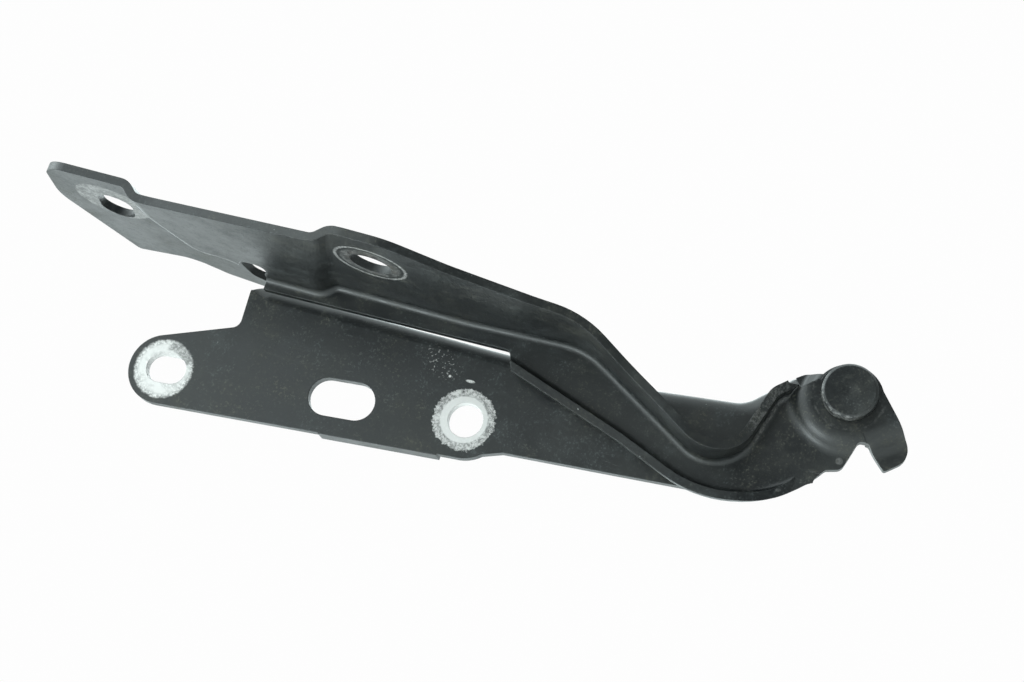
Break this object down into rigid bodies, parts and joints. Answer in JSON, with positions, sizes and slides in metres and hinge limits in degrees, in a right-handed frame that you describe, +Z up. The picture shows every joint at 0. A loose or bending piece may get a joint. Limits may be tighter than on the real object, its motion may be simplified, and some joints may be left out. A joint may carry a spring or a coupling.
{
  "type": "bonnet hinge",
  "caption": "Right-hand bonnet hinge: pressed body bracket and cranked bonnet arm with two bonnet pads, joined by a riveted bushed pivot with an opening stop tab.",
  "frame": {"origin": "centre of the round body fixing hole, on the face of the bracket that lies against the car body", "axes": "+X rearward along the car, +Y outboard into the body panel, +Z up; the hinge is closed at rest"},
  "size_m": [0.2594, 0.0726, 0.0669],
  "materials": {
    "black_coated_sheet": "semi-gloss black electrocoat, dusty and worn",
    "black_coated_rivet": "semi-gloss black electrocoat over a steel rivet",
    "bush_bronze": "plain bronze, greased",
    "zinc_washer": "dull zinc plate"
  },
  "bodies": {
    "body_side": {"body_bracket": "black_coated_sheet", "pivot_rivet": "black_coated_rivet", "tail_washer": "zinc_washer"},
    "bonnet_side": {"bonnet_arm": "black_coated_sheet", "pivot_bush": "bush_bronze", "head_washer": "zinc_washer"}
  },
  "joints": [
    {"name": "bonnet_pivot", "type": "hinge", "parent": "body_side", "child": "bonnet_side", "pos_m": [0.1043, -0.00825, 0.0358], "axis": [0, 1, 0], "range_deg": [0, 55]}
  ]
}
